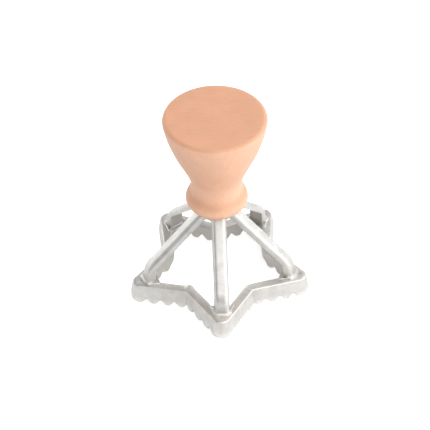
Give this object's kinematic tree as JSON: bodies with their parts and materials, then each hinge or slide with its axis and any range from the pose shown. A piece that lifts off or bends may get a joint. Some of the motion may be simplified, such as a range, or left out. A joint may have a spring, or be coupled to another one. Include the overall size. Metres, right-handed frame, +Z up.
{
  "type": "ravioli stamp",
  "caption": "Star-shaped ravioli stamp: a cast aluminium rim with crimping teeth, carried on spokes under a turned beech handle.",
  "frame": {"origin": "middle of the base of the whole stamp's box, on the plane where the teeth stand; the handle's axis is 3.1 mm behind it", "axes": "+Z up along the handle, -Y towards the front tip of the star, X across the star"},
  "size_m": [0.071, 0.068, 0.0833],
  "materials": {
    "cast_aluminium": "tumbled die-cast aluminium, satin with a fine grain",
    "beech": "turned and sanded beech, satin wax or oil",
    "zinc_plated_steel": "zinc-plated steel"
  },
  "bodies": {
    "root": {"star_frame": "cast_aluminium", "handle": "beech", "handle_screw": "zinc_plated_steel"}
  },
  "joints": []
}
